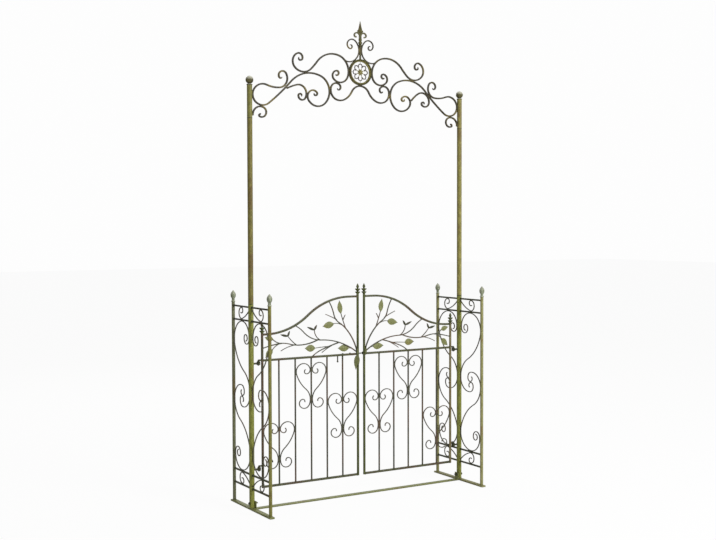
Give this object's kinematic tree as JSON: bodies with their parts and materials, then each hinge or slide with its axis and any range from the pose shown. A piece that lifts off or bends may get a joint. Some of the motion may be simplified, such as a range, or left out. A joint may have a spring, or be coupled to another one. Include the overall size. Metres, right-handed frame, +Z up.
{
  "type": "garden arch with gate",
  "caption": "Free-standing metal garden arch with a scrolled crown, scrollwork side panels and hinged gate leaves joined by a sliding bolt.",
  "frame": {"origin": "on the ground, midway between the two main posts and midway between the front and rear posts", "axes": "+Z up, +X across the opening to the right as seen from the front, +Y to the rear"},
  "size_m": [1.2489, 0.426, 2.353],
  "materials": {
    "finial_castings": "pale green antique paint rubbed on the tops",
    "foot_bars": "olive antique paint with dark edges",
    "medallion": "bronze olive antique paint",
    "crown_bars": "dark bronze paint with olive highlights",
    "leaf_plates": "olive paint with bronze veins",
    "thin_bars": "dark grey green paint",
    "main_tubes": "olive paint with brown bronze patches",
    "side_tubes": "olive paint with dark edges",
    "inner_tubes": "plain steel",
    "hardware": "near black green paint",
    "panel_rails": "dark brown green paint",
    "gate_bars": "dark olive paint"
  },
  "bodies": {
    "frame": {"acorn_finials": "finial_castings", "ball_finials": "finial_castings", "crown_crest_scrolls": "crown_bars", "crown_left_scrolls": "crown_bars", "crown_left_sleeve": "main_tubes", "crown_lower_scroll": "crown_bars", "crown_medallion_ring": "medallion", "crown_medallion_rosette": "medallion", "crown_right_scrolls": "crown_bars", "crown_right_sleeve": "main_tubes", "crown_spear": "medallion", "crown_upper_scrolls": "crown_bars", "ground_tie_bar": "foot_bars", "left_band_scrolls": "thin_bars", "left_base_bar": "foot_bars", "left_front_post": "side_tubes", "left_hinge_eyes": "hardware", "left_lower_post": "main_tubes", "left_panel_bottom_rails": "panel_rails", "left_panel_scrolls": "thin_bars", "left_panel_top_rails": "panel_rails", "left_rear_post": "side_tubes", "left_upper_post": "main_tubes", "post_couplers": "inner_tubes", "right_band_scrolls": "thin_bars", "right_base_bar": "foot_bars", "right_front_post": "side_tubes", "right_hinge_eyes": "hardware", "right_lower_post": "main_tubes", "right_panel_bottom_rails": "panel_rails", "right_panel_scrolls": "thin_bars", "right_panel_top_rails": "panel_rails", "right_rear_post": "side_tubes", "right_upper_post": "main_tubes", "tie_bar_bolts": "hardware"},
    "left_leaf": {"latch_guides": "hardware", "left_leaf_bars": "gate_bars", "left_leaf_bottom_rail": "gate_bars", "left_leaf_heart_scrolls": "thin_bars", "left_leaf_hinge_pins": "hardware", "left_leaf_hinge_stile": "gate_bars", "left_leaf_meeting_stile": "gate_bars", "left_leaf_mid_rail": "gate_bars", "left_leaf_stile_finials": "finial_castings", "left_leaf_top_rail": "gate_bars", "left_leaf_vine_leaves": "leaf_plates", "left_leaf_vine_stems": "thin_bars"},
    "right_leaf": {"latch_keeper": "hardware", "right_leaf_bars": "gate_bars", "right_leaf_bottom_rail": "gate_bars", "right_leaf_heart_scrolls": "thin_bars", "right_leaf_hinge_pins": "hardware", "right_leaf_hinge_stile": "gate_bars", "right_leaf_meeting_stile": "gate_bars", "right_leaf_mid_rail": "gate_bars", "right_leaf_stile_finials": "finial_castings", "right_leaf_top_rail": "gate_bars", "right_leaf_vine_leaves": "leaf_plates", "right_leaf_vine_stems": "thin_bars"},
    "bolt": {"latch_bolt": "hardware"}
  },
  "joints": [
    {"name": "left_leaf_hinge", "type": "hinge", "parent": "frame", "child": "left_leaf", "pos_m": [-0.568, 0, 0.2], "axis": [0, 0, 1], "range_deg": [-90, 90]},
    {"name": "right_leaf_hinge", "type": "hinge", "parent": "frame", "child": "right_leaf", "pos_m": [0.568, 0, 0.2], "axis": [0, 0, 1], "range_deg": [-90, 90]},
    {"name": "bolt_slide", "type": "slide", "parent": "left_leaf", "child": "bolt", "axis": [1, 0, 0], "range_m": [-0.025, 0.022]}
  ]
}
